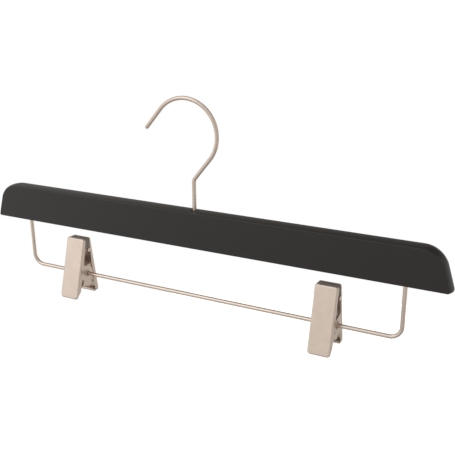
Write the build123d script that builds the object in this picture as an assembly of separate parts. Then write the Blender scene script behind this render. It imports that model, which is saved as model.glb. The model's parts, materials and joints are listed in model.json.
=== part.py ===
from build123d import *
import math
import os

# Trouser hanger: a wooden bar on a swivel wire hook, with a steel rod below it
# that carries two sprung clips. Millimetres, X along the bar, Y to the back, Z up.
# The origin is the top of the hook's inside, where it sits on a wardrobe rail.
# Sizes of the bar are kept from the middle of its underside until everything is placed.

# Wooden bar
bar_length = 399.0
bar_height = 29.7
bar_thickness = 12.6
bar_end_lean = 17.1
bar_corner_radius = 17.1
bar_foot_radius = 1.5
bar_crown_top = 0.4
bar_crown_end = 2.2
bar_edge_radius = 0.5

# Swivel hook, one bent wire with a formed head
hook_wire_diameter = 3.1
hook_inner_diameter = 51.5
hook_centre_offset = 7.0
hook_centre_rise = 59.3
hook_shaft_rise = 24.7
hook_bend_radius = 6.0
hook_tip_angle = 139.5
hook_tip_length = 19.5
hook_head_diameter = 6.4
hook_head_height = 1.6
hook_head_clearance = 0.3

# The hook's hole through the bar
hook_bore_clearance = 0.25
hook_countersink_width = 1.0
hook_countersink_depth = 1.0
washer_diameter = 8.0
washer_thickness = 0.8
washer_clearance = 0.3
counterbore_depth = 7.0
counterbore_clearance = 0.3

# Bent rod under the bar
rod_diameter = 3.1
rod_drop = 42.8
rod_leg_spacing = 332.6
rod_bend_radius = 9.0
rod_socket_depth = 16.0
rod_press = 0.03

# Clips: two pressed trays, hinged on a hollow rivet round the rod
clip_places = {"left": -117.2, "right": 110.3}
clip_leans = {"left": -4.8, "right": -2.1}
clip_width = 17.9
clip_sheet = 0.8
clip_jaw_length = 30.1
front_handle_length = 22.9
back_handle_length = 22.5
clip_pivot_distance = 11.2
clip_tilt = 12.3
clip_corner_radius = 1.8
clip_foot_radius = 2.8
clip_edge_radius = 1.2
clip_jaw_lip = 2.3
front_handle_lip = 1.4
back_handle_lip = 4.2
jaw_flange_depth = 2.6
handle_flange_depth = 4.2
handle_flange_slant = 7.0

# Ears round the rivet; the left clip has its outer ears in front, the right one at the back
outer_ears = {"left": "front", "right": "back"}
ear_radius = 6.6
ear_gap = 0.15
ear_top_height = 7.0
back_ear_foot_height = 9.5
front_ear_foot_height = 5.7
tongue_slot_width = 2.6
tongue_reach = 5.6
tongue_drop = 11.3

# Hollow rivet
rivet_diameter = 5.0
rivet_bore_diameter = 4.0
rivet_running_gap = 0.05
rivet_rim_width = 0.7
rivet_rim_thickness = 0.5
rivet_rim_gap = 0.05

# Grip pads in the jaws
pad_length = 8.0
pad_side_gap = 0.45
pad_lip_gap = 0.05
pad_mouth_gap = 0.3

# Lug on each side wall of the back plates, which stops the pad's foot
pad_stop_gap = 0.7
pad_stop_height = 3.2
pad_stop_reach = 6.1
pad_stop_radius = 0.6

# Rolled hem along the foot of the back plates
hem_radius = 1.0

# Torsion spring round the rivet
spring_wire_diameter = 1.0
spring_coil_gap = 0.3
spring_turns = 4
spring_turn_gap = 0.5
spring_leg_angle = 35.0
spring_leg_gap = 0.3

overrun = 1.0

bar_half = bar_length / 2
bar_face = bar_thickness / 2
hook_wire_radius = hook_wire_diameter / 2
hook_radius = hook_inner_diameter / 2 + hook_wire_radius
hook_centre_height = bar_height + hook_centre_rise
seat_height = hook_centre_height + hook_inner_diameter / 2
hook_bore_radius = hook_wire_radius + hook_bore_clearance
washer_top = counterbore_depth
rod_radius = rod_diameter / 2
leg_x = rod_leg_spacing / 2
rivet_radius = rivet_diameter / 2
outer_ear_outside = clip_width / 2
inner_ear_outside = outer_ear_outside - clip_sheet - ear_gap
spring_wire_radius = spring_wire_diameter / 2
spring_radius = rivet_radius + spring_coil_gap + spring_wire_radius
inner_face_distance = clip_pivot_distance - clip_sheet
jaw_flange_y = jaw_flange_depth - clip_pivot_distance
handle_flange_y = handle_flange_depth - clip_pivot_distance


def save(name, shape):
    """Move a piece from the bar's frame to the hook seat's frame and write it."""
    placed = Pos(hook_centre_offset, 0, -seat_height) * shape
    export_step(placed, f"parts/{name}.step")


def unit(angle):
    """Unit vector in the XZ plane at an angle from +X, in degrees."""
    return Vector(math.cos(math.radians(angle)), 0, math.sin(math.radians(angle)))


def tangent_angle(point, centre, radius, side):
    """Angle of the point where a line from an outside point touches a circle."""
    away = math.atan2(point[1] - centre[1], point[0] - centre[0])
    reach = math.hypot(point[0] - centre[0], point[1] - centre[1])
    return away + side * math.acos(radius / reach)


def on_circle(centre, radius, angle):
    """Point of a circle in a plane, with the angle in radians."""
    return (centre[0] + radius * math.cos(angle), centre[1] + radius * math.sin(angle))


# Wooden bar
def bar_outline(end_inset, top_inset, y):
    """Front outline of the bar at one depth: leaning ends and rounded corners."""
    top = bar_height - top_inset
    foot_x = bar_half - end_inset
    top_x = foot_x - top * math.tan(math.radians(bar_end_lean))
    with BuildSketch(Plane.XZ.offset(-y)) as outline:
        with BuildLine():
            Polyline((-foot_x, 0), (foot_x, 0), (top_x, top), (-top_x, top), close=True)
        make_face()
        fillet(outline.vertices().sort_by(Axis.Y)[2:], bar_corner_radius)
        fillet(outline.vertices().sort_by(Axis.Y)[:2], bar_foot_radius)
    return outline.sketch.face()


def bar_blank():
    """Bar with a crowned top and crowned ends between two flat faces."""
    outlines = [
        bar_outline(bar_crown_end, bar_crown_top, -bar_face),
        bar_outline(0, 0, 0),
        bar_outline(bar_crown_end, bar_crown_top, bar_face),
    ]
    blank = loft(outlines)
    flats = blank.faces().filter_by(Plane.XZ).sort_by(Axis.Y)
    rims = list(flats[0].edges()) + list(flats[-1].edges())
    return fillet(rims, bar_edge_radius)


def upright_cylinder(x, bottom, top, radius):
    """Cylinder along Z between two heights."""
    return Pos(x, 0, (bottom + top) / 2) * Cylinder(radius, top - bottom)


def hanger_bar():
    """Bar with the hook's hole, its counterbore and the two rod sockets."""
    bar = bar_blank()
    bar -= upright_cylinder(0, -overrun, bar_height + overrun, hook_bore_radius)
    counterbore = washer_diameter / 2 + counterbore_clearance
    bar -= upright_cylinder(0, -overrun, counterbore_depth, counterbore)
    wide = hook_bore_radius + hook_countersink_width
    slope = hook_countersink_width / hook_countersink_depth
    cone = Cone(hook_bore_radius, wide + overrun * slope, hook_countersink_depth + overrun)
    bar -= Pos(0, 0, bar_height + (overrun - hook_countersink_depth) / 2) * cone
    for x in (-leg_x, leg_x):
        bar -= upright_cylinder(x, -overrun, rod_socket_depth, rod_radius - rod_press)
    return bar


# Hook and its washer
def hook():
    """Bent wire hook: shaft, slanted neck, open circle, straight tip and formed head."""
    centre = (-hook_centre_offset, hook_centre_height)
    corner = (0, bar_height + hook_shaft_rise)
    start_angle = math.degrees(tangent_angle(corner, centre, hook_radius, 1))
    middle = Vector(centre[0], 0, centre[1])
    neck_end = middle + unit(start_angle) * hook_radius
    crown = middle + unit((start_angle + hook_tip_angle) / 2) * hook_radius
    arc_end = middle + unit(hook_tip_angle) * hook_radius
    tip = arc_end + unit(hook_tip_angle + 90) * hook_tip_length
    foot = Vector(0, 0, washer_top - washer_thickness - hook_head_clearance)
    bend = Vector(corner[0], 0, corner[1])
    trim = hook_bend_radius * math.tan(math.radians(abs(start_angle) / 2))
    bend_start = bend - Vector(0, 0, trim)
    neck = (neck_end - bend).normalized()
    shaft = Edge.make_line(foot, bend_start)
    elbow = Edge.make_tangent_arc(bend_start, Vector(0, 0, 1), bend + neck * trim)
    slant = Edge.make_line(bend + neck * trim, neck_end)
    round_part = Edge.make_three_point_arc(neck_end, crown, arc_end)
    straight_tip = Edge.make_line(arc_end, tip)
    path = Wire([shaft, elbow, slant, round_part, straight_tip])
    section = Plane(origin=foot, z_dir=(0, 0, 1)) * Circle(hook_wire_radius)
    wire = sweep(section, path=path)
    wire += Pos(tip.X, tip.Y, tip.Z) * Sphere(hook_wire_radius)
    head_top = foot.Z
    wire += upright_cylinder(0, head_top - hook_head_height, head_top, hook_head_diameter / 2)
    return wire


def hook_washer():
    """Steel washer that the hook's head pulls against, seated in the counterbore."""
    disc = upright_cylinder(0, washer_top - washer_thickness, washer_top, washer_diameter / 2)
    bore = hook_wire_radius + washer_clearance
    return disc - upright_cylinder(0, 0, washer_top + overrun, bore)


# Rod
def clip_rod():
    """One bent rod: a leg pressed into the bar at each end and a straight run between."""
    path = FilletPolyline(
        (-leg_x, 0, rod_socket_depth),
        (-leg_x, 0, -rod_drop),
        (leg_x, 0, -rod_drop),
        (leg_x, 0, rod_socket_depth),
        radius=rod_bend_radius,
    )
    section = Plane(origin=(-leg_x, 0, rod_socket_depth), z_dir=(0, 0, -1)) * Circle(rod_radius)
    return sweep(section, path=path)


# Clips, modelled on the rod's axis with the front plate upright before it is tilted
def tray(handle_length):
    """Open pressed tray with rounded edges, its walls deep enough for the ears."""
    depth = clip_pivot_distance + tongue_reach + overrun
    length = clip_jaw_length + handle_length
    middle_z = (clip_jaw_length - handle_length) / 2

    def block(inset):
        size = Box(clip_width - 2 * inset, depth, length - 2 * inset)
        corners = size.edges().filter_by(Axis.Y).sort_by(Axis.Z)
        size = fillet(corners[:2], clip_foot_radius - inset)
        corners = size.edges().filter_by(Axis.Y).sort_by(Axis.Z)
        size = fillet(corners[-2:], clip_corner_radius - inset)
        outside = size.faces().sort_by(Axis.Y)[0]
        return fillet(outside.edges(), clip_edge_radius - inset)

    shell = block(0) - Pos(0, clip_sheet, 0) * block(clip_sheet)
    return Pos(0, depth / 2 - clip_pivot_distance, middle_z) * shell


def side_prism(points_face, inside, outside):
    """Extrude a side outline between two places along X."""
    return Pos(inside, 0, 0) * extrude(points_face, outside - inside, dir=(1, 0, 0))


def flange_outline(handle_length, handle_lip):
    """Side outline of a tray's low walls, deepest at the ears, with a lip at each end."""
    face_y = -clip_pivot_distance - overrun
    jaw_y = clip_jaw_lip - clip_pivot_distance
    handle_y = handle_lip - clip_pivot_distance
    points = [
        (face_y, clip_jaw_length + overrun),
        (jaw_y, clip_jaw_length + overrun),
        (jaw_y, clip_jaw_length - clip_corner_radius),
        (jaw_flange_y, clip_jaw_length - 2 * clip_corner_radius),
        (handle_flange_y, ear_top_height),
        (handle_flange_y, handle_flange_slant - handle_length),
        (handle_y, clip_foot_radius - handle_length),
        (handle_y, -handle_length - overrun),
        (face_y, -handle_length - overrun),
    ]
    return make_face(Plane.YZ * Polyline(*points, close=True))


def ear_outline(foot_height):
    """Ear: straight sides from the flange that touch a circle round the rivet."""
    root_y = -inner_face_distance
    upper = tangent_angle((handle_flange_y, ear_top_height), (0, 0), ear_radius, -1)
    lower = tangent_angle((handle_flange_y, -foot_height), (0, 0), ear_radius, 1)
    line = Polyline(
        on_circle((0, 0), ear_radius, lower),
        (handle_flange_y, -foot_height),
        (root_y, -foot_height),
        (root_y, ear_top_height),
        (handle_flange_y, ear_top_height),
        on_circle((0, 0), ear_radius, upper),
    )
    nose = ThreePointArc(line @ 0, (ear_radius, 0), line @ 1)
    return make_face(Plane.YZ * Curve([line, nose]))


def tongue_outline():
    """Tongue that hangs from a front ear, with a slot between it and the flange."""
    slot_y = handle_flange_y + tongue_slot_width
    points = [
        (slot_y, 0),
        (ear_radius, 0),
        (tongue_reach, -tongue_drop),
        (slot_y, -tongue_drop),
    ]
    return make_face(Plane.YZ * Polyline(*points, close=True))


def pad_stop_outline():
    """Lug that stands up from a side wall under the pad's foot."""
    top = clip_jaw_length - pad_length - pad_stop_gap
    tip_y = pad_stop_reach - clip_pivot_distance
    points = [
        (-inner_face_distance, top),
        (tip_y, top),
        (tip_y, top - pad_stop_height),
        (-inner_face_distance, top - pad_stop_height),
    ]
    outline = make_face(Plane.YZ * Polyline(*points, close=True))
    return fillet(outline.vertices().sort_by(Axis.Y)[-2:], pad_stop_radius)


def rivet_hole():
    """Cutter for the ears' holes."""
    hole = Cylinder(rivet_radius + rivet_running_gap, clip_width + overrun)
    return Rot(0, 90, 0) * hole


def both_sides(shape):
    """A piece and its mirror image across the clip's middle plane."""
    return shape + mirror(shape, Plane.YZ)


def plate(handle_length, wall_faces, ear_faces, outer):
    """Tray with its ears in line with its walls, or stepped in to pass inside the other's."""
    blank = tray(handle_length)
    low_walls = side_prism(wall_faces[0], -clip_width, clip_width)
    for face in wall_faces[1:]:
        low_walls += side_prism(face, -clip_width, clip_width)
    if outer:
        for face in ear_faces:
            low_walls += side_prism(face, -clip_width, clip_width)
        return (blank & low_walls) - rivet_hole()
    inside = inner_ear_outside - clip_sheet
    step = side_prism(ear_faces[0], inner_ear_outside, outer_ear_outside - clip_sheet)
    ears = step & low_walls
    for face in ear_faces:
        ears += side_prism(face, inside, inner_ear_outside)
    return (blank & low_walls) + both_sides(ears) - rivet_hole()


def handle_hem():
    """Rolled hem on the rim of the back handle's lip, with round ends."""
    reach = clip_width / 2 - clip_foot_radius
    y = back_handle_lip - hem_radius - clip_pivot_distance
    z = hem_radius - back_handle_length
    hem = Pos(0, y, z) * Rot(0, 90, 0) * Cylinder(hem_radius, 2 * reach)
    for x in (-reach, reach):
        hem += Pos(x, y, z) * Sphere(hem_radius)
    return hem


def front_plate(outer):
    """Front tray, upright with its outer face to the front, its ears with tongues."""
    walls = [flange_outline(front_handle_length, front_handle_lip)]
    ears = [ear_outline(front_ear_foot_height), tongue_outline()]
    return plate(front_handle_length, walls, ears, outer)


def back_plate(outer):
    """Back tray with its pad stops and its hem, mirrored to face the back."""
    walls = [flange_outline(back_handle_length, back_handle_lip), pad_stop_outline()]
    ears = [ear_outline(back_ear_foot_height)]
    blank = plate(back_handle_length, walls, ears, outer) + handle_hem()
    return mirror(blank, Plane.XZ)


def flange_depth(height):
    """Depth of the jaw's side walls at a height over the pivot."""
    tip_height = clip_jaw_length - 2 * clip_corner_radius
    share = (tip_height - height) / (tip_height - ear_top_height)
    return jaw_flange_depth + (handle_flange_depth - jaw_flange_depth) * share


def pad_outline(top_depth, bottom_depth, top):
    """Side outline of a pad from its depth in the tray up to the jaws' mating plane."""
    tilt = math.radians(clip_tilt)
    mate_y = -pad_mouth_gap / 2
    bottom = clip_jaw_length - pad_length

    def mating(height):
        return ((mate_y - height * math.sin(tilt)) / math.cos(tilt), height)

    points = [
        (top_depth - clip_pivot_distance, top),
        mating(top),
        mating(bottom),
        (bottom_depth - clip_pivot_distance, bottom),
    ]
    return make_face(Plane.YZ * Polyline(*points, close=True))


def front_pad():
    """Grip pad seated in the tray and filling the jaw up to the mating plane."""
    wall_inside = clip_width / 2 - clip_sheet - pad_side_gap
    over_lip = clip_width / 2 - pad_side_gap
    seated_top = clip_jaw_length - clip_sheet - pad_side_gap
    seated = side_prism(pad_outline(clip_sheet, clip_sheet, seated_top), -wall_inside, wall_inside)
    proud_bottom = flange_depth(clip_jaw_length - pad_length) + pad_lip_gap
    proud_outline = pad_outline(jaw_flange_depth + pad_lip_gap, proud_bottom, clip_jaw_length)
    return seated + side_prism(proud_outline, -over_lip, over_lip)


def clip_tube():
    """Hollow rivet: a tube round the rod with a rolled rim at each end."""
    rim_x = outer_ear_outside + rivet_rim_gap
    half = rim_x + rivet_rim_thickness
    tube = Cylinder(rivet_radius, 2 * half)
    for side in (-1, 1):
        rim = Cylinder(rivet_radius + rivet_rim_width, rivet_rim_thickness)
        tube += Pos(0, 0, side * (half - rivet_rim_thickness / 2)) * rim
    tube -= Cylinder(rivet_bore_diameter / 2, 2 * half + overrun)
    return Rot(0, 90, 0) * tube


# Torsion spring
def helix_point(angle, pitch, start_angle, start_x):
    """Point and direction on the spring's coil, wound round X, angle in radians."""
    x = start_x + pitch * abs(angle - start_angle) / (2 * math.pi)
    point = Vector(x, spring_radius * math.cos(angle), spring_radius * math.sin(angle))
    rise = pitch / (2 * math.pi)
    heading = Vector(rise, spring_radius * math.sin(angle), -spring_radius * math.cos(angle))
    return point, heading.normalized()


def biarc(start, start_heading, end, end_heading):
    """Two arcs that leave one point and reach another with given directions."""
    chord = end - start
    both = start_heading + end_heading
    spare = 2 * (1 - start_heading.dot(end_heading))
    along = chord.dot(both)
    reach = (math.sqrt(along * along + spare * chord.dot(chord)) - along) / spare
    near = start + start_heading * reach
    far = end - end_heading * reach
    joint = (near + far) * 0.5
    first = Edge.make_tangent_arc(start, start_heading, joint)
    second = Edge.make_tangent_arc(joint, (far - near).normalized(), end)
    return [first, second]


def spring_leg_length():
    """Leg length that brings the wire's side close to the plate's inner face."""
    slant = math.radians(spring_leg_angle - clip_tilt)
    free = inner_face_distance - spring_wire_radius - spring_leg_gap
    return (free - spring_radius * math.cos(slant)) / math.sin(slant)


def clip_spring():
    """One wire: a straight leg, close turns over the rivet and a second leg."""
    leg = math.radians(spring_leg_angle)
    pitch = spring_wire_diameter + spring_turn_gap
    first = math.pi - leg
    last = leg - 2 * math.pi * spring_turns
    coil_width = pitch * (first - last) / (2 * math.pi)
    steps = 2 * spring_turns + 1
    angles = [first + (last - first) * k / steps for k in range(steps + 1)]
    places = [helix_point(a, pitch, first, -coil_width / 2) for a in angles]
    leg_length = spring_leg_length()
    start, start_heading = places[0]
    end, end_heading = places[-1]
    edges = [Edge.make_line(start - start_heading * leg_length, start)]
    for (a, heading_a), (b, heading_b) in zip(places, places[1:]):
        edges += biarc(a, heading_a, b, heading_b)
    edges.append(Edge.make_line(end, end + end_heading * leg_length))
    path = Wire(edges)
    section = Plane(origin=path @ 0, z_dir=start_heading) * Circle(spring_wire_radius)
    print("spring: least gap between turns", round(least_turn_gap(edges), 3), "mm")
    return sweep(section, path=path)


def least_turn_gap(edges):
    """Least gap of the wire to itself, measured on points along its centre line."""
    samples = 12
    points = []
    for edge in edges:
        points += [(edge @ (k / samples)) for k in range(samples)]
    far_along = math.pi * spring_radius
    lengths = [0.0]
    for a, b in zip(points, points[1:]):
        lengths.append(lengths[-1] + (b - a).length)
    gaps = []
    for i, a in enumerate(points):
        for j in range(i + 1, len(points)):
            if lengths[j] - lengths[i] > far_along:
                gaps.append((points[j] - a).length - spring_wire_diameter)
    return min(gaps)


os.makedirs("parts", exist_ok=True)

save("hanger_bar", hanger_bar())
save("hook", hook())
save("hook_washer", hook_washer())
save("clip_rod", clip_rod())

clip_pieces = {
    "front_pad": Rot(-clip_tilt, 0, 0) * front_pad(),
    "back_pad": Rot(clip_tilt, 0, 0) * mirror(front_pad(), Plane.XZ),
    "clip_spring": clip_spring(),
    "clip_tube": clip_tube(),
}
for side, place in clip_places.items():
    outer = outer_ears[side]
    clip_pieces["front_plate"] = Rot(-clip_tilt, 0, 0) * front_plate(outer == "front")
    clip_pieces["back_plate"] = Rot(clip_tilt, 0, 0) * back_plate(outer == "back")
    for piece, shape in clip_pieces.items():
        turned = Rot(clip_leans[side], 0, 0) * shape
        save(f"{side}_{piece}", Pos(place, 0, -rod_drop) * turned)
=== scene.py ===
import json
import math

import bmesh
import bpy
from bpy.props import FloatProperty, FloatVectorProperty, IntProperty, PointerProperty
from mathutils import Matrix, Vector


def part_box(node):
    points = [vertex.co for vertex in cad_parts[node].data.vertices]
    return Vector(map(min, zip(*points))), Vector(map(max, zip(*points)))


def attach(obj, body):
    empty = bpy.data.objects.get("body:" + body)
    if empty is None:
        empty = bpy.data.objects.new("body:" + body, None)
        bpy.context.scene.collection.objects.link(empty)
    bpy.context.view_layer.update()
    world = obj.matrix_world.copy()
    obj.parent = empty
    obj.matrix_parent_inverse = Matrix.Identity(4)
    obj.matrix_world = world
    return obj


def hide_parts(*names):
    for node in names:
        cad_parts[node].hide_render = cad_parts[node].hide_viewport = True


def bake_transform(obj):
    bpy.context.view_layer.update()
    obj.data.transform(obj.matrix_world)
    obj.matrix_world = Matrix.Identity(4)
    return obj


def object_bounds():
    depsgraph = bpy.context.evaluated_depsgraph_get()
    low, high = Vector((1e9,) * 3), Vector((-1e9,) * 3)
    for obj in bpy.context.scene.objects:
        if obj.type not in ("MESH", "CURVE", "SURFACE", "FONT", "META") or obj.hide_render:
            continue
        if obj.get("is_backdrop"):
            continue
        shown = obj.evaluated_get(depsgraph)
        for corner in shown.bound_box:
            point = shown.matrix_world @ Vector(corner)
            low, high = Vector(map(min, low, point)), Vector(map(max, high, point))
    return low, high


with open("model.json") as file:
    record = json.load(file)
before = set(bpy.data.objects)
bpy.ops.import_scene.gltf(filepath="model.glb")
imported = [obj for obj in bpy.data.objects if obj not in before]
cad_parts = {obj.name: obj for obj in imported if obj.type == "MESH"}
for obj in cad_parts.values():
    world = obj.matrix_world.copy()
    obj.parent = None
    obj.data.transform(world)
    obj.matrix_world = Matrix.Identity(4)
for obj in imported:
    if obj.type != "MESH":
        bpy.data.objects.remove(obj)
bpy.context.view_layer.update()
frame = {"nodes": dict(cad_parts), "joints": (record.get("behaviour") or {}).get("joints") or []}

bl_info = {
    "name": "Trouser Hanger",
    "version": (1, 0, 0),
    "blender": (4, 5, 0),
    "location": "3D View > Sidebar > Hanger",
    "description": "Builds the wooden bar, bent wires and sprung clips of a trouser hanger",
    "category": "Object",
}

MM = 0.001
ALONG = Vector((1, 0, 0))
BACK = Vector((0, 1, 0))
UP = Vector((0, 0, 1))
SIDES = ("left", "right")
joints = {joint["name"]: joint for joint in frame["joints"]}
shaft_x = joints["hook_swivel"]["pos_m"][0]
underside_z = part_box("hanger_bar")[0].z


def linear(code):
    """Linear colour, with alpha, of an sRGB hex value."""
    parts = [int(code[k : k + 2], 16) / 255 for k in (1, 3, 5)]
    return [p / 12.92 if p <= 0.04045 else ((p + 0.055) / 1.055) ** 2.4 for p in parts] + [1]


def length(name, description, millimetres):
    """A size in the settings, written in millimetres."""
    return FloatProperty(
        name=name, description=description, default=millimetres * MM, min=0, unit="LENGTH"
    )


def angle(name, description, degrees):
    """An angle in the settings, written in degrees."""
    return FloatProperty(
        name=name, description=description, default=math.radians(degrees), subtype="ANGLE"
    )


def colour(name, description, code):
    """A colour in the settings, written as an sRGB hex value."""
    return FloatVectorProperty(
        name=name, description=description, default=linear(code), size=4, subtype="COLOR"
    )


class BarSettings(bpy.types.PropertyGroup):
    """Sizes and stain of the wooden bar."""

    length: length("Length", "Length of the underside before its corners are rounded", 399)
    height: length("Height", "Height from the underside to the crown", 29.7)
    thickness: length("Thickness", "Thickness from front to back", 12.6)
    lean: angle("End lean", "Lean of each end from upright", 17.1)
    corner: length("Top corner", "Radius of the upper corners", 17.1)
    foot: length("Foot corner", "Radius of the lower corners", 1.5)
    crown_top: length("Top crown", "Rise of the crown along the top", 0.4)
    crown_end: length("End crown", "Rise of the crown at the ends", 2.2)
    edge: length("Edge", "Rounding of the sanded long edges", 0.5)
    crown_steps: IntProperty(name="Crown steps", description="Steps of each crown", default=10)
    stain: colour("Stain", "Colour of the stained wood", "#150E0A")


class HookSettings(bpy.types.PropertyGroup):
    """Sizes of the bent wire hook and of its hole in the bar."""

    wire: length("Wire", "Thickness of the hook's wire", 3.1)
    inside: length("Inside", "Width across the inside of the round part", 51.5)
    offset: length("Offset", "Distance of the round part's centre from the shaft", 7)
    centre_rise: length("Centre rise", "Height of the round part's centre over the bar", 59.3)
    shaft_rise: length("Shaft rise", "Height of the shaft's bend over the bar", 24.7)
    bend: length("Bend", "Radius of the bend over the shaft", 6)
    tip_angle: angle("Tip angle", "Where the round part ends, from level", 139.5)
    tip: length("Tip", "Length of the straight tip", 19.5)
    head: length("Head", "Width of the formed head at the foot", 6.4)
    head_height: length("Head height", "Height of the formed head", 1.6)
    foot: length("Foot", "Height of the head's top inside the bar", 5.9)
    bore_gap: length("Bore gap", "Play of the shaft in the bar", 0.25)
    sink: length("Countersink", "Width and depth of the worn countersink", 1)
    pocket: length("Pocket", "Width of the pocket for the washer", 8.6)
    pocket_depth: length("Pocket depth", "Depth of the pocket for the washer", 7)


class RodSettings(bpy.types.PropertyGroup):
    """Sizes of the bent rod under the bar."""

    wire: length("Rod", "Thickness of the rod", 3.1)
    drop: length("Drop", "Distance of the rod's middle line below the bar", 42.8)
    spacing: length("Spacing", "Distance between the legs", 332.6)
    bend: length("Bend", "Radius of the two bends", 9)
    socket: length("Socket", "How far the legs reach into the bar", 16)
    press: length("Press", "How much tighter the sockets are than the rod", 0.03)


class ClipSettings(bpy.types.PropertyGroup):
    """Sizes of the clips' pads, rivets and springs, and the colours of the clips."""

    left_lean: angle("Left lean", "Lean of the left clip on the rod", -4.8)
    right_lean: angle("Right lean", "Lean of the right clip on the rod", -2.1)
    tilt: angle("Tilt", "Tilt of each plate from upright", 12.3)
    width: length("Width", "Width of the pressed plates", 17.9)
    sheet: length("Sheet", "Thickness of the pressed plates", 0.8)
    jaw: length("Jaw", "Length of a plate above the rod", 30.1)
    distance: length("Distance", "Distance of a plate's outer face from the rod", 11.2)
    pad: length("Pad", "Length of a grip pad along the jaw", 8)
    pad_side: length("Pad side", "Play at the sides of a grip pad", 0.45)
    pad_lip: length("Pad lip", "Depth at which the pad widens over the walls, at the top", 2.65)
    pad_foot: length("Pad foot", "Depth at which the pad widens over the walls, at its foot", 3.02)
    pad_mouth: length("Pad mouth", "Play between the closed pads", 0.3)
    pad_edge: length("Pad edge", "Rounding of the pads' long edges", 0.3)
    pad_end: length("Pad end", "Rounding of the pads' ends", 0.1)
    rib: length("Rib", "Spacing of the ribs across the grip", 1)
    rib_depth: length("Rib depth", "Depth of the grooves between the ribs", 0.25)
    rib_edge: length("Rib edge", "Rounding of the ribs and grooves", 0.12)
    rib_margin: length("Rib margin", "Plain strip at each end of the ribs", 1)
    rivet: length("Rivet", "Outer width of the hollow rivet", 5)
    rivet_bore: length("Rivet bore", "Bore of the hollow rivet", 4)
    rim: length("Rim", "How far the rivet's rims stand out", 0.7)
    rim_thickness: length("Rim thickness", "Thickness of the rivet's rims", 0.5)
    rim_gap: length("Rim gap", "Play between a rim and the ear", 0.05)
    rim_edge: length("Rim edge", "Rounding of the rolled rims", 0.2)
    spring_wire: length("Spring wire", "Thickness of the spring's wire", 1)
    spring_gap: length("Spring gap", "Play between the coil and the rivet", 0.3)
    spring_turns: IntProperty(name="Spring turns", description="Full turns of the coil", default=4)
    turn_gap: length("Turn gap", "Space between the coil's turns", 0.5)
    leg_angle: angle("Leg angle", "Slant of the spring's legs from upright", 35)
    leg_gap: length("Leg gap", "Play between a leg's end and the plate", 0.3)
    nickel: colour("Nickel", "Colour of the satin nickel plating", "#D6C6B8")
    pad_colour: colour("Pad colour", "Colour of the grip pads", "#908782")


class StageSettings(bpy.types.PropertyGroup):
    """Place of the camera and size of the floor."""

    azimuth: angle("Azimuth", "Direction of the camera round the hanger", 26.898)
    elevation: angle("Elevation", "Height of the camera's direction", 19.305)
    roll: angle("Roll", "Turn of the camera about its line of sight", -0.423)
    place: FloatVectorProperty(
        name="Place", description="Where the camera stands", subtype="XYZ", unit="LENGTH",
        default=(271.878 * MM, -465.992 * MM, 88.395 * MM),
    )
    lens: FloatProperty(name="Lens", description="Focal length in millimetres", default=57.414)
    sensor: FloatProperty(name="Sensor", description="Sensor width in millimetres", default=36)
    floor_drop: length("Floor drop", "Distance of the floor below the hanger", 700)
    floor_radius: length("Floor radius", "Radius of the round floor", 1600)


# Shared builders
def node(tree, kind, inputs=None, links=None, **settings):
    """Add a node with its settings, its fixed inputs and the sockets that feed it."""
    made = tree.nodes.new(kind)
    for key, value in settings.items():
        setattr(made, key, value)
    for key, value in (inputs or {}).items():
        made.inputs[key].default_value = value
    for key, source in (links or {}).items():
        tree.links.new(source, made.inputs[key])
    return made


def ramp(tree, source, stops):
    """Colour ramp through stops of (place, grey)."""
    made = node(tree, "ShaderNodeValToRGB", links={"Fac": source})
    while len(made.color_ramp.elements) < len(stops):
        made.color_ramp.elements.new(0.5)
    for element, (place, grey) in zip(made.color_ramp.elements, stops):
        element.position = place
        element.color = (grey, grey, grey, 1)
    return made.outputs["Color"]


def new_material(name):
    """An empty node material; returns the material and its tree."""
    made = bpy.data.materials.new(name)
    made.use_nodes = True
    made.node_tree.nodes.clear()
    return made, made.node_tree


def close_material(tree, shader):
    """Send a shader to the material's surface."""
    node(tree, "ShaderNodeOutputMaterial", links={"Surface": shader.outputs[0]})


def piece_from(bm, name, body, stands_for, material, smooth=35):
    """Turn a mesh in the row frame into a finished piece on one body, or left unattached in place.
    """
    bmesh.ops.remove_doubles(bm, verts=bm.verts, dist=0.001 * MM)
    bmesh.ops.recalc_face_normals(bm, faces=bm.faces)
    mesh = bpy.data.meshes.new(name)
    bm.to_mesh(mesh)
    bm.free()
    for polygon in mesh.polygons:
        polygon.use_smooth = True
    mesh.set_sharp_from_angle(angle=math.radians(smooth))
    mesh.materials.append(material)
    made = bpy.data.objects.new(name, mesh)
    bpy.context.scene.collection.objects.link(made)
    if isinstance(body, str):
        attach(made, body)
    else:
        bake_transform(made)
    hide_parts(stands_for)
    return made


def grow_ring(bm, ring, way):
    """Extrude a ring of edges along a vector; returns the new vertices and the new ring."""
    grown = bmesh.ops.extrude_edge_only(bm, edges=ring)["geom"]
    verts = [g for g in grown if isinstance(g, bmesh.types.BMVert)]
    edges = [e for v in verts for e in v.link_edges if all(w in verts for w in e.verts)]
    bmesh.ops.translate(bm, verts=verts, vec=way)
    return verts, list(dict.fromkeys(edges))


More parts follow.
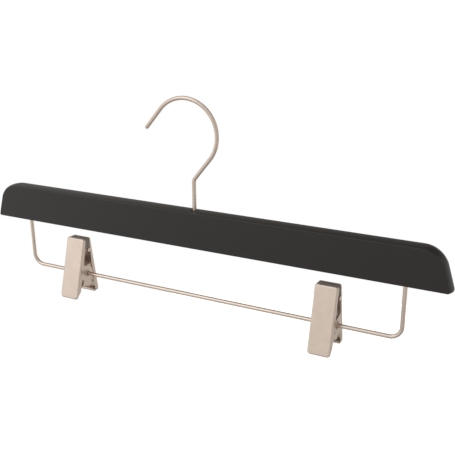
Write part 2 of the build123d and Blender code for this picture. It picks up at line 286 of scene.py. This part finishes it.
class BentWire:
    """A round wire drawn from one end: straight runs, bends and coils in turn."""

    def __init__(self, start, heading, radius, sides=24):
        self.bm = bmesh.new()
        self.place = Vector(start)
        self.heading = Vector(heading).normalized()
        self.radius = radius
        square = self.heading.to_track_quat("Z", "Y").to_matrix().to_4x4()
        bmesh.ops.create_circle(
            self.bm, segments=sides, radius=radius, matrix=Matrix.Translation(start) @ square
        )
        self.ring = list(self.bm.edges)
        bmesh.ops.edgeloop_fill(self.bm, edges=self.ring)

    def run(self, distance):
        """Straight run along the heading."""
        _, self.ring = grow_ring(self.bm, self.ring, self.heading * distance)
        self.place += self.heading * distance

    def swell(self, radius):
        """Step to another thickness at this place."""
        self.run(0)
        self.narrow(radius)

    def narrow(self, radius):
        """Bring the last ring to another radius."""
        verts = list({v for e in self.ring for v in e.verts})
        share = radius / self.radius
        bmesh.ops.scale(
            self.bm, vec=(share,) * 3, space=Matrix.Translation(-self.place), verts=verts
        )
        self.radius = radius

    def turn(self, centre, axis, turned, steps, climb=0.0):
        """Bend about a centre, or wind a coil that climbs along the axis."""
        axis = Vector(axis)
        made = bmesh.ops.spin(
            self.bm,
            geom=self.ring,
            cent=centre,
            axis=axis,
            dvec=axis * climb / steps,
            angle=turned,
            steps=steps,
        )
        self.ring = [g for g in made["geom_last"] if isinstance(g, bmesh.types.BMEdge)]
        spun = Matrix.Rotation(turned, 3, axis)
        self.place = Vector(centre) + spun @ (self.place - Vector(centre)) + axis * climb
        self.heading = spun @ self.heading

    def bend(self, radius, turned, axis, steps):
        """Bend towards one side, with the wire's middle line at a radius."""
        axis = Vector(axis)
        side = axis.cross(self.heading).normalized() * math.copysign(1, turned)
        self.turn(self.place + side * radius, axis, turned, steps)

    def close(self, dome_steps=0):
        """Close the last ring, flat with a broken edge or as a dome."""
        full, flat_share = self.radius, 0.85
        if dome_steps:
            angles = [math.pi / 2 * k / (dome_steps + 1) for k in range(dome_steps + 1)]
            for low, high in zip(angles, angles[1:]):
                self.run(full * (math.sin(high) - math.sin(low)))
                self.narrow(full * math.cos(high))
        else:
            self.run(full * (1 - flat_share))
            self.narrow(full * flat_share)
        bmesh.ops.edgeloop_fill(self.bm, edges=self.ring)
        return self.bm


def closed_outline(bm, points, radii, across, up):
    """Flat face from its sharp corners in a plane and the radius that rounds each."""
    fewest_steps, degrees_a_step = 3, 5
    corners = [across * a + up * b for a, b in points]
    normal = across.cross(up)
    runs = [after - here for here, after in zip(corners, corners[1:] + corners[:1])]
    turns = [
        math.atan2(normal.dot(before.cross(after)), before.dot(after))
        for before, after in zip(runs[-1:] + runs[:-1], runs)
    ]
    trims = [radius * math.tan(abs(turn) / 2) for radius, turn in zip(radii, turns)]
    last = bm.verts.new(corners[0] + runs[0].normalized() * trims[0])
    for k, run in enumerate(runs):
        following = (k + 1) % len(runs)
        way = run.normalized()
        last = bmesh.ops.extrude_vert_indiv(bm, verts=[last])["verts"][0]
        straight = run.length - trims[k] - trims[following]
        bmesh.ops.translate(bm, verts=[last], vec=way * straight)
        turn = turns[following]
        side = normal.cross(way) * math.copysign(radii[following], turn)
        made = bmesh.ops.spin(
            bm, geom=[last], cent=last.co + side, axis=normal, angle=turn,
            steps=max(fewest_steps, math.ceil(abs(math.degrees(turn)) / degrees_a_step)),
        )
        last = [g for g in made["geom_last"] if isinstance(g, bmesh.types.BMVert)][0]
    bmesh.ops.remove_doubles(bm, verts=bm.verts, dist=0.002 * MM)
    return bmesh.ops.contextual_create(bm, geom=bm.edges)["faces"]


# Materials
def noise(tree, sizes, **inputs):
    """Noise pattern with its size along each axis."""
    scaled = node(
        tree, "ShaderNodeMapping",
        inputs={"Scale": tuple(1 / size for size in sizes)},
        links={"Vector": node(tree, "ShaderNodeTexCoord").outputs["Object"]},
    )
    made = node(
        tree, "ShaderNodeTexNoise",
        inputs={"Scale": 1.0, **inputs}, links={"Vector": scaled.outputs[0]},
    )
    return made.outputs["Fac"]


def multiplied(tree, tint, pattern):
    """A fixed colour multiplied by a pattern."""
    made = node(
        tree, "ShaderNodeMix", data_type="RGBA", blend_type="MULTIPLY",
        inputs={"Factor": 1.0, 6: tuple(tint)}, links={7: pattern},
    )
    return made.outputs[2]


def bumped(tree, height, strength, depth, under=None):
    """Bumps of a depth from a pattern, over the bumps under them."""
    links = {"Height": height, "Normal": under} if under else {"Height": height}
    made = node(
        tree, "ShaderNodeBump",
        inputs={"Strength": strength, "Distance": depth}, links=links,
    )
    return made.outputs[0]


def stained_wood(stain):
    """Close-grained hardwood, stained black and sprayed with satin lacquer.

    Seen as a nearly even soft black with faint long grain, a thin sheen that
    brightens at grazing angles, and tiny filled pores under the lacquer.
    """
    made, tree = new_material("black_stained_hardwood_satin_lacquer")
    grain_length, grain_width, grain_depth = 60 * MM, 0.9 * MM, 0.05 * MM
    pore_length, pore_width, pore_depth = 2.5 * MM, 0.22 * MM, 0.03 * MM
    cloud_size = 25 * MM
    grain = noise(
        tree, (grain_length, grain_width, grain_width),
        Detail=4.0, Roughness=0.6, Distortion=0.4,
    )
    pores = noise(tree, (pore_length, pore_width, pore_width), Detail=2.0, Roughness=0.5)
    clouds = noise(tree, (cloud_size,) * 3, Detail=2.0)
    tone = ramp(tree, grain, [(0.3, 0.82), (0.7, 1.12)])
    patch = ramp(tree, clouds, [(0.3, 0.9), (0.7, 1.08)])
    shade = node(
        tree, "ShaderNodeMix", data_type="RGBA", blend_type="MULTIPLY",
        inputs={"Factor": 1.0}, links={6: tone, 7: patch},
    )
    filled = ramp(tree, pores, [(0.28, 0.0), (0.4, 1.0)])
    surface = bumped(tree, grain, 0.2, grain_depth, bumped(tree, filled, 0.25, pore_depth))
    shader = node(
        tree, "ShaderNodeBsdfPrincipled",
        inputs={"IOR": 1.5},
        links={
            "Base Color": multiplied(tree, stain, shade.outputs[2]),
            "Roughness": ramp(tree, grain, [(0.2, 0.34), (0.8, 0.44)]),
            "Normal": surface,
        },
    )
    close_material(tree, shader)
    return made


def satin_nickel(name, tint, roughness, line_width, line_strength):
    """Steel plated with satin nickel: warm, soft reflections and fine brushed lines."""
    made, tree = new_material(name)
    line_length, line_depth, cloud_size = 12 * MM, 0.01 * MM, 6 * MM
    lines = noise(tree, (line_width, line_width, line_length), Detail=3.0, Roughness=0.6)
    clouds = noise(tree, (cloud_size,) * 3, Detail=3.0)
    worn = ramp(tree, clouds, [(0.3, 0.93), (0.7, 1.0)])
    rough = ramp(tree, lines, [(0.2, roughness * 0.85), (0.8, roughness * 1.15)])
    shader = node(
        tree, "ShaderNodeBsdfPrincipled",
        inputs={"Metallic": 1.0},
        links={
            "Base Color": multiplied(tree, tint, worn),
            "Roughness": rough,
            "Normal": bumped(tree, lines, line_strength, line_depth),
        },
    )
    close_material(tree, shader)
    return made


def moulded_pvc(tint):
    """Soft PVC, moulded: dull warm grey with a fine matt skin."""
    made, tree = new_material("soft_pvc_moulded_matt")
    skin_size, skin_depth = 0.35 * MM, 0.03 * MM
    skin = noise(tree, (skin_size,) * 3, Detail=3.0)
    tone = ramp(tree, skin, [(0.3, 0.88), (0.7, 1.08)])
    shader = node(
        tree, "ShaderNodeBsdfPrincipled",
        inputs={"Roughness": 0.5, "IOR": 1.53},
        links={
            "Base Color": multiplied(tree, tint, tone),
            "Normal": bumped(tree, skin, 0.3, skin_depth),
        },
    )
    close_material(tree, shader)
    return made


def finish_node(name, material):
    """Give a CAD node its material and keep its shape."""
    slots = frame["nodes"][name].data.materials
    slots.clear()
    slots.append(material)


# Wooden bar
def bar_blank(s):
    """Crowned blank: the outline at mid thickness, drawn out to both faces as it shrinks."""
    foot = s.length / 2
    top = foot - s.height * math.tan(s.lean)
    corners = [(-foot, 0), (foot, 0), (top, s.height), (-top, s.height)]
    bm = bmesh.new()
    middle = closed_outline(bm, corners, [s.foot, s.foot, s.corner, s.corner], ALONG, UP)
    bmesh.ops.delete(bm, geom=middle, context="FACES_ONLY")
    waist = list(bm.edges)
    crowns = ((s.crown_end, foot), (s.crown_top, s.height))
    shares = [k / s.crown_steps for k in range(s.crown_steps + 1)]
    rims = []
    for way in (-1, 1):
        ring = waist
        for last, share in zip(shares, shares[1:]):
            verts, ring = grow_ring(bm, ring, BACK * way * s.thickness / 2 / s.crown_steps)
            narrow = [
                (1 - crown * share ** 2 / size) / (1 - crown * last ** 2 / size)
                for crown, size in crowns
            ]
            bmesh.ops.scale(bm, vec=(narrow[0], 1, narrow[1]), verts=verts)
        bmesh.ops.edgeloop_fill(bm, edges=ring)
        rims += ring
    bmesh.ops.bevel(
        bm, geom=rims, offset=s.edge, affect="EDGES", segments=4, profile=0.5, material=-1,
        offset_type="OFFSET", clamp_overlap=False,
    )
    bmesh.ops.recalc_face_normals(bm, faces=bm.faces)
    return bm


def drill(bm, x, rings):
    """Cutter along Z from its lowest ring to its highest, as (height, radius)."""
    made = bmesh.ops.create_circle(
        bm, segments=48, radius=rings[0][1], matrix=Matrix.Translation((x, 0, rings[0][0]))
    )
    ring = list({e for v in made["verts"] for e in v.link_edges})
    bmesh.ops.edgeloop_fill(bm, edges=ring)
    for (low, narrow), (high, wide) in zip(rings, rings[1:]):
        verts, ring = grow_ring(bm, ring, UP * (high - low))
        bmesh.ops.scale(
            bm, vec=(wide / narrow, wide / narrow, 1), verts=verts,
            space=Matrix.Translation((-x, 0, 0)),
        )
    bmesh.ops.edgeloop_fill(bm, edges=ring)


def object_from(bm, name, shift=(0, 0, 0)):
    """A plain object from a mesh, moved in its own mesh."""
    bmesh.ops.translate(bm, verts=bm.verts, vec=shift)
    bmesh.ops.recalc_face_normals(bm, faces=bm.faces)
    mesh = bpy.data.meshes.new(name)
    bm.to_mesh(mesh)
    bm.free()
    made = bpy.data.objects.new(name, mesh)
    bpy.context.scene.collection.objects.link(made)
    return made


def combined(context, first, second, operation):
    """Mesh of two plain objects joined or cut; both objects go."""
    change = first.modifiers.new("change", "BOOLEAN")
    change.object = second
    change.operation = operation
    change.solver = "EXACT"
    bm = bmesh.new()
    bm.from_object(first, context.evaluated_depsgraph_get())
    for spare in (first, second):
        bpy.data.objects.remove(spare)
    return bm


class HANGER_OT_bar(bpy.types.Operator):
    """Build the crowned wooden bar with its drilled holes"""

    bl_idname = "hanger.bar"
    bl_label = "Wooden bar"

    def execute(self, context):
        s, h, r = context.scene.hanger_bar, context.scene.hanger_hook, context.scene.hanger_rod
        shift = Vector((shaft_x, 0, underside_z))
        over = 1 * MM  # how far the cutters stand out of the wood
        bore = h.wire / 2 + h.bore_gap
        cutter = bmesh.new()
        drill(cutter, 0, [
            (-over, h.pocket / 2),
            (h.pocket_depth, h.pocket / 2),
            (h.pocket_depth, bore),
            (s.height - h.sink, bore),
            (s.height + over, bore + h.sink + over),
        ])
        for way in (-1, 1):
            socket = r.wire / 2 - r.press
            drill(cutter, way * r.spacing / 2, [(-over, socket), (r.socket, socket)])
        blank = object_from(bar_blank(s), "bar_blank", shift)
        holes = object_from(cutter, "bar_holes", shift)
        solid = combined(context, blank, holes, "DIFFERENCE")
        bar = piece_from(
            solid, "stained_bar", "bar", "hanger_bar", stained_wood(s.stain),
            smooth=25,
        )
        bar.modifiers.new("flat faces", "WEIGHTED_NORMAL").keep_sharp = True
        return {"FINISHED"}


class HANGER_OT_hook(bpy.types.Operator):
    """Bend the swivel hook from one wire, with its head, neck, round part and tip"""

    bl_idname = "hanger.hook"
    bl_label = "Wire hook"

    def execute(self, context):
        s, bar = context.scene.hanger_hook, context.scene.hanger_bar
        radius = s.inside / 2 + s.wire / 2
        foot = Vector((shaft_x, 0, underside_z + s.foot))
        corner = Vector((shaft_x, 0, underside_z + bar.height + s.shaft_rise))
        centre = Vector((shaft_x - s.offset, 0, underside_z + bar.height + s.centre_rise))
        away = corner - centre
        start_angle = math.atan2(away.z, away.x) + math.acos(radius / away.length)
        neck_turn = -start_angle
        trim = s.bend * math.tan(neck_turn / 2)
        slant = math.sqrt(away.length ** 2 - radius ** 2) - trim
        full, eased = s.head / 2, 0.8
        wire = BentWire(foot - UP * s.head_height, UP, full * eased)
        wire.swell(full)
        wire.run(s.head_height * eased)
        wire.swell(full * eased)
        wire.run(s.head_height * (1 - eased))
        wire.swell(s.wire / 2)
        wire.run((corner - foot).length - trim)
        wire.bend(s.bend, neck_turn, BACK, steps=12)
        wire.run(slant)
        wire.bend(radius, start_angle - s.tip_angle, BACK, steps=72)
        wire.run(s.tip)
        nickel = context.scene.hanger_clip.nickel
        satin = satin_nickel(
            "wire_satin_nickel", nickel, roughness=0.34, line_width=0.15 * MM, line_strength=0.1
        )
        piece_from(wire.close(dome_steps=7), "wire_hook", "hook", "hook", satin)
        finish_node("hook_washer", satin)
        return {"FINISHED"}


class HANGER_OT_rod(bpy.types.Operator):
    """Bend the rod that carries the clips"""

    bl_idname = "hanger.rod"
    bl_label = "Clip rod"

    def execute(self, context):
        s = context.scene.hanger_rod
        start = Vector((shaft_x - s.spacing / 2, 0, underside_z + s.socket))
        wire = BentWire(start, -UP, s.wire / 2)
        wire.run(s.socket + s.drop - s.bend)
        wire.bend(s.bend, -math.pi / 2, BACK, steps=18)
        wire.run(s.spacing - 2 * s.bend)
        wire.bend(s.bend, -math.pi / 2, BACK, steps=18)
        wire.run(s.drop - s.bend + s.socket)
        nickel = context.scene.hanger_clip.nickel
        satin = satin_nickel(
            "rod_satin_nickel", nickel, roughness=0.28, line_width=0.15 * MM, line_strength=0.1
        )
        piece_from(wire.close(), "bent_rod", "bar", "clip_rod", satin)
        return {"FINISHED"}


def clip_frame(s, side):
    """Place and lean of a clip on the rod."""
    pivot = Vector(joints[f"{side}_clip_swivel"]["pos_m"])
    lean = s.left_lean if side == "left" else s.right_lean
    return Matrix.Translation(pivot) @ Matrix.Rotation(lean, 4, "X")


class HANGER_OT_plates(bpy.types.Operator):
    """Finish the pressed plates of both clips"""

    bl_idname = "hanger.plates"
    bl_label = "Pressed plates"

    def execute(self, context):
        nickel = context.scene.hanger_clip.nickel
        satin = satin_nickel(
            "sheet_satin_nickel", nickel, roughness=0.36, line_width=0.12 * MM, line_strength=0.15
        )
        for side in SIDES:
            finish_node(f"{side}_front_plate", satin)
            finish_node(f"{side}_back_plate", satin)
        return {"FINISHED"}


def pad_block(points, radii, half_width, rounding):
    """Block of one side outline in the front plate's own frame, with softened ends."""
    bm = bmesh.new()
    face = closed_outline(bm, points, radii, BACK, UP)
    bmesh.ops.translate(bm, verts=bm.verts, vec=-ALONG * half_width)
    rims = list(bm.edges)
    grown = bmesh.ops.extrude_face_region(bm, geom=face)["geom"]
    verts = [g for g in grown if isinstance(g, bmesh.types.BMVert)]
    rims += [g for g in grown if isinstance(g, bmesh.types.BMEdge)]
    bmesh.ops.translate(bm, verts=verts, vec=ALONG * 2 * half_width)
    bmesh.ops.bevel(
        bm, geom=rims, offset=rounding, affect="EDGES", segments=2, profile=0.5, material=-1,
        offset_type="OFFSET", clamp_overlap=False,
    )
    return bm


def grip_corners(s):
    """Corners and radii of the grip over the walls, ribbed where the jaws meet."""
    low, high = s.jaw - s.pad, s.jaw

    def mating(height):
        reach = s.pad_mouth / 2 + height * math.sin(s.tilt)
        return Vector((-reach / math.cos(s.tilt), height))

    foot, top = mating(low), mating(high)
    way = (top - foot).normalized()
    inward = Vector((-way.y, way.x))
    ribs = int(((top - foot).length - 2 * s.rib_margin) / s.rib)
    first = foot + (top - foot - way * ribs * s.rib) / 2
    points = [(s.pad_foot - s.distance, low), foot, first]
    radii = [s.pad_edge, s.pad_edge, s.rib_edge]
    for k in range(ribs):
        points += [first + way * (k + 0.5) * s.rib + inward * s.rib_depth,
                   first + way * (k + 1) * s.rib]
        radii += [s.rib_edge, s.rib_edge]
    points += [top, (s.pad_lip - s.distance, high)]
    return points, radii + [s.pad_edge, s.pad_edge]


def seat_corners(s):
    """Corners and radii of the block that sits between the walls."""
    low, high = s.jaw - s.pad, s.jaw - s.sheet - s.pad_side
    outside = s.sheet - s.distance
    inside = s.pad_foot + 2 * s.pad_edge - s.distance
    points = [(outside, low), (inside, low), (inside, high), (outside, high)]
    return points, [s.pad_edge] * 4


class HANGER_OT_pads(bpy.types.Operator):
    """Mould the ribbed grip pads of both clips"""

    bl_idname = "hanger.pads"
    bl_label = "Grip pads"

    def execute(self, context):
        s = context.scene.hanger_clip
        soft = moulded_pvc(s.pad_colour)
        over_walls = s.width / 2 - s.pad_side
        for side in SIDES:
            for part, way in (("front", 1), ("back", -1)):
                grip = pad_block(*grip_corners(s), over_walls, s.pad_end)
                seat = pad_block(*seat_corners(s), over_walls - s.sheet, s.pad_end)
                solid = combined(
                    context, object_from(grip, "grip"), object_from(seat, "seat"), "UNION"
                )
                bmesh.ops.scale(solid, vec=(1, way, 1), verts=solid.verts)
                tilted = Matrix.Rotation(-way * s.tilt, 4, "X")
                bmesh.ops.transform(
                    solid, matrix=clip_frame(s, side) @ tilted, verts=solid.verts
                )
                piece_from(
                    solid, f"{side}_{part}_grip", f"{side}_{part}", f"{side}_{part}_pad",
                    soft, smooth=30,
                )
        return {"FINISHED"}


class HANGER_OT_rivets(bpy.types.Operator):
    """Turn the hollow rivets that the clips swing on, with their rolled rims"""

    bl_idname = "hanger.rivets"
    bl_label = "Hollow rivets"

    def execute(self, context):
        s = context.scene.hanger_clip
        satin = satin_nickel(
            "rivet_nickel", s.nickel, roughness=0.4, line_width=0.12 * MM, line_strength=0.1
        )
        bore, tube = s.rivet_bore / 2, s.rivet / 2
        inner = s.width / 2 + s.rim_gap
        outer = inner + s.rim_thickness
        profile = [
            (-outer, bore), (outer, bore), (outer, tube + s.rim), (inner, tube + s.rim),
            (inner, tube), (-inner, tube), (-inner, tube + s.rim), (-outer, tube + s.rim),
        ]
        radii = [s.rim_edge] * 4 + [0, 0] + [s.rim_edge] * 2
        for side in SIDES:
            bm = bmesh.new()
            face = closed_outline(bm, profile, radii, ALONG, UP)
            bmesh.ops.delete(bm, geom=face, context="FACES_ONLY")
            bmesh.ops.spin(
                bm, geom=bm.edges, axis=ALONG, angle=2 * math.pi, steps=48, use_merge=True
            )
            bmesh.ops.transform(bm, matrix=clip_frame(s, side), verts=bm.verts)
            piece_from(
                bm, f"{side}_hollow_rivet", f"{side}_slider", f"{side}_clip_tube",
                satin,
            )
        return {"FINISHED"}


class HANGER_OT_springs(bpy.types.Operator):
    """Wind the torsion springs round the rivets, each from one wire with two legs"""

    bl_idname = "hanger.springs"
    bl_label = "Torsion springs"

    def execute(self, context):
        s = context.scene.hanger_clip
        satin = satin_nickel(
            "spring_wire_drawn", s.nickel, roughness=0.3, line_width=0.08 * MM, line_strength=0.1
        )
        steps_a_turn = 24
        wire_radius = s.spring_wire / 2
        coil = s.rivet / 2 + s.spring_gap + wire_radius
        wound = math.pi - 2 * s.leg_angle + 2 * math.pi * s.spring_turns
        climb = (s.spring_wire + s.turn_gap) * wound / (2 * math.pi)
        first = math.pi - s.leg_angle
        begin = Vector((-climb / 2, coil * math.cos(first), coil * math.sin(first)))
        heading = Vector((climb / wound, begin.z, -begin.y)).normalized()
        slant = s.leg_angle - s.tilt
        free = s.distance - s.sheet - wire_radius - s.leg_gap
        leg = (free - coil * math.cos(slant)) / math.sin(slant)
        for side in SIDES:
            wire = BentWire(begin - heading * leg, heading, wire_radius, sides=16)
            wire.run(leg)
            wire.turn(Vector(), ALONG, -wound, steps_a_turn * (s.spring_turns + 1), climb)
            wire.run(leg)
            spring = wire.close()
            place = clip_frame(s, side)
            bmesh.ops.transform(spring, matrix=place, verts=spring.verts)
            # The coil's two ends, on the front and back plates
            reach = ALONG * (climb / 2 - wire_radius)
            ends = (f"{side}_front", f"{side}_back", tuple(place @ -reach), tuple(place @ reach))
            piece_from(
                spring, f"{side}_torsion_spring", ends, f"{side}_clip_spring",
                satin,
            )
        return {"FINISHED"}


# Stage
# Soft light by direction: azimuth, elevation, reach in degrees, and strength added
EVEN_LIGHT = 0.8
LOBES = (
    (-40, 0, 60, 0.2),
    (-52, 57, 30, 0.8),
    (45, -15, 80, -0.2),
    (180, 45, 65, -0.75),
)
# Lamps: name, place, size and power
LAMPS = (
    ("key", (-1.1, -1.5, 0.9), 1.5, 4.4),
    ("top", (0.1, 0.3, 1.5), 1.2, 2),
)


def seen_white(tree, mirrored):
    """Share of white for a ray: all of it for the eye and through glass, less in mirrors."""
    path = node(tree, "ShaderNodeLightPath").outputs
    direct = node(
        tree, "ShaderNodeMath", operation="MAXIMUM",
        links={0: path["Is Camera Ray"], 1: path["Is Transmission Ray"]},
    )
    mirror = node(
        tree, "ShaderNodeMath", operation="MULTIPLY",
        inputs={1: mirrored}, links={0: path["Is Glossy Ray"]},
    )
    return node(
        tree, "ShaderNodeMath", operation="MAXIMUM",
        links={0: direct.outputs[0], 1: mirror.outputs[0]},
    ).outputs[0]


def floor_material():
    """Pale matt paper floor, white to the eye, which keeps its shadows."""
    made, tree = new_material("pale_matt_paper")
    glow, mirrored = 0.8, 0.1
    paper = node(
        tree, "ShaderNodeBsdfPrincipled",
        inputs={"Base Color": linear("#D2D2D2"), "Roughness": 0.9},
    )
    lift = node(
        tree, "ShaderNodeMath", operation="MULTIPLY",
        inputs={1: glow}, links={0: seen_white(tree, mirrored)},
    )
    white = node(
        tree, "ShaderNodeEmission",
        inputs={"Color": (1, 1, 1, 1)}, links={"Strength": lift.outputs[0]},
    )
    both = node(
        tree, "ShaderNodeAddShader", links={0: paper.outputs[0], 1: white.outputs[0]}
    )
    close_material(tree, both)
    return made


def studio_world(even, lobes):
    """White backdrop for the eye; soft light of uneven strength for everything else.

    Each lobe adds to the even light, or takes from it, round one direction. The
    light is warmer where it is weaker, as it comes off the walls there.
    """
    world = bpy.data.worlds.new("studio")
    world.use_nodes = True
    tree = world.node_tree
    tree.nodes.clear()
    mirrored = 0.15
    way = node(tree, "ShaderNodeTexCoord").outputs["Generated"]
    total = None
    for azimuth, elevation, reach, amount in lobes:
        az, el = math.radians(azimuth), math.radians(elevation)
        towards = (math.sin(az) * math.cos(el), -math.cos(az) * math.cos(el), math.sin(el))
        facing = node(
            tree, "ShaderNodeVectorMath", operation="DOT_PRODUCT",
            inputs={1: towards}, links={0: way},
        )
        lobe = node(
            tree, "ShaderNodeMapRange", interpolation_type="SMOOTHSTEP",
            inputs={"From Min": math.cos(math.radians(reach)), "From Max": 1.0,
                    "To Min": 0.0, "To Max": amount},
            links={"Value": facing.outputs["Value"]},
        )
        total = node(
            tree, "ShaderNodeMath", operation="ADD",
            inputs={} if total else {1: even},
            links={0: lobe.outputs[0], 1: total.outputs[0]} if total else {0: lobe.outputs[0]},
        )
    warmth = node(
        tree, "ShaderNodeMix", data_type="RGBA",
        inputs={6: linear("#FFF2E4"), 7: (1, 1, 1, 1)}, links={"Factor": total.outputs[0]},
    )
    soft = node(
        tree, "ShaderNodeBackground",
        links={"Color": warmth.outputs[2], "Strength": total.outputs[0]},
    )
    white = node(
        tree, "ShaderNodeBackground", inputs={"Color": (1, 1, 1, 1), "Strength": 1.0}
    )
    both = node(
        tree, "ShaderNodeMixShader",
        links={0: seen_white(tree, mirrored), 1: soft.outputs[0], 2: white.outputs[0]},
    )
    node(tree, "ShaderNodeOutputWorld", links={"Surface": both.outputs[0]})
    bpy.context.scene.world = world


def soft_lamp(name, place, target, size, power):
    """Square area lamp that faces a target."""
    lamp = bpy.data.lights.new(name, "AREA")
    lamp.shape = "SQUARE"
    lamp.size = size
    lamp.energy = power
    made = bpy.data.objects.new(name, lamp)
    made.location = place
    made.rotation_euler = (Vector(target) - Vector(place)).to_track_quat("-Z", "Y").to_euler()
    bpy.context.scene.collection.objects.link(made)


class HANGER_OT_stage(bpy.types.Operator):
    """Set the floor, the soft lamps and the camera"""

    bl_idname = "hanger.stage"
    bl_label = "Stage"

    def execute(self, context):
        s = context.scene.hanger_stage
        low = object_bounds()[0]
        bm = bmesh.new()
        bmesh.ops.create_circle(bm, cap_ends=True, segments=64, radius=s.floor_radius)
        floor = object_from(bm, "floor", Vector((0, 0, low.z - s.floor_drop)))
        floor.data.materials.append(floor_material())
        floor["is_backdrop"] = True
        studio_world(EVEN_LIGHT, LOBES)
        middle = (shaft_x, 0, underside_z)
        for name, place, size, power in LAMPS:
            soft_lamp(name, place, middle, size, power)
        self.place_camera(context, s)
        context.scene.view_settings.view_transform = "Standard"
        return {"FINISHED"}

    def place_camera(self, context, s):
        """Camera of the picture, turned by its azimuth, elevation and roll."""
        az, el = s.azimuth, s.elevation
        back = Vector((math.sin(az) * math.cos(el), -math.cos(az) * math.cos(el), math.sin(el)))
        right = Vector((math.cos(az), math.sin(az), 0))
        up = back.cross(right)
        level = Matrix((right, up, back)).transposed().to_4x4()
        lens = bpy.data.cameras.new("camera")
        lens.lens = s.lens
        lens.sensor_width = s.sensor
        camera = bpy.data.objects.new("camera", lens)
        camera.matrix_world = (
            Matrix.Translation(s.place) @ level @ Matrix.Rotation(s.roll, 4, "Z")
        )
        context.scene.collection.objects.link(camera)
        context.scene.camera = camera


class HANGER_PT_panel(bpy.types.Panel):
    """Sidebar panel with the hanger's sizes and steps"""

    bl_label = "Trouser Hanger"
    bl_idname = "HANGER_PT_panel"
    bl_space_type = "VIEW_3D"
    bl_region_type = "UI"
    bl_category = "Hanger"

    def draw(self, context):
        for step in STEPS:
            self.layout.operator(step.bl_idname)
        for key, group in SETTINGS.items():
            box = self.layout.box()
            box.label(text=key.replace("_", " ").capitalize())
            for name in group.__annotations__:
                box.prop(getattr(context.scene, key), name)


STEPS = (
    HANGER_OT_bar,
    HANGER_OT_hook,
    HANGER_OT_rod,
    HANGER_OT_plates,
    HANGER_OT_pads,
    HANGER_OT_rivets,
    HANGER_OT_springs,
    HANGER_OT_stage,
)
SETTINGS = {
    "hanger_bar": BarSettings,
    "hanger_hook": HookSettings,
    "hanger_rod": RodSettings,
    "hanger_clip": ClipSettings,
    "hanger_stage": StageSettings,
}


def register():
    for key, group in SETTINGS.items():
        bpy.utils.register_class(group)
        setattr(bpy.types.Scene, key, PointerProperty(type=group))
    for step in STEPS:
        bpy.utils.register_class(step)
    bpy.utils.register_class(HANGER_PT_panel)


def unregister():
    bpy.utils.unregister_class(HANGER_PT_panel)
    for step in reversed(STEPS):
        bpy.utils.unregister_class(step)
    for key, group in SETTINGS.items():
        delattr(bpy.types.Scene, key)
        bpy.utils.unregister_class(group)


def main():
    """Build every piece in order."""
    register()
    bpy.ops.hanger.bar()
    bpy.ops.hanger.hook()
    bpy.ops.hanger.rod()
    bpy.ops.hanger.plates()
    bpy.ops.hanger.pads()
    bpy.ops.hanger.rivets()
    bpy.ops.hanger.springs()
    bpy.ops.hanger.stage()


if __name__ == "__main__":
    main()
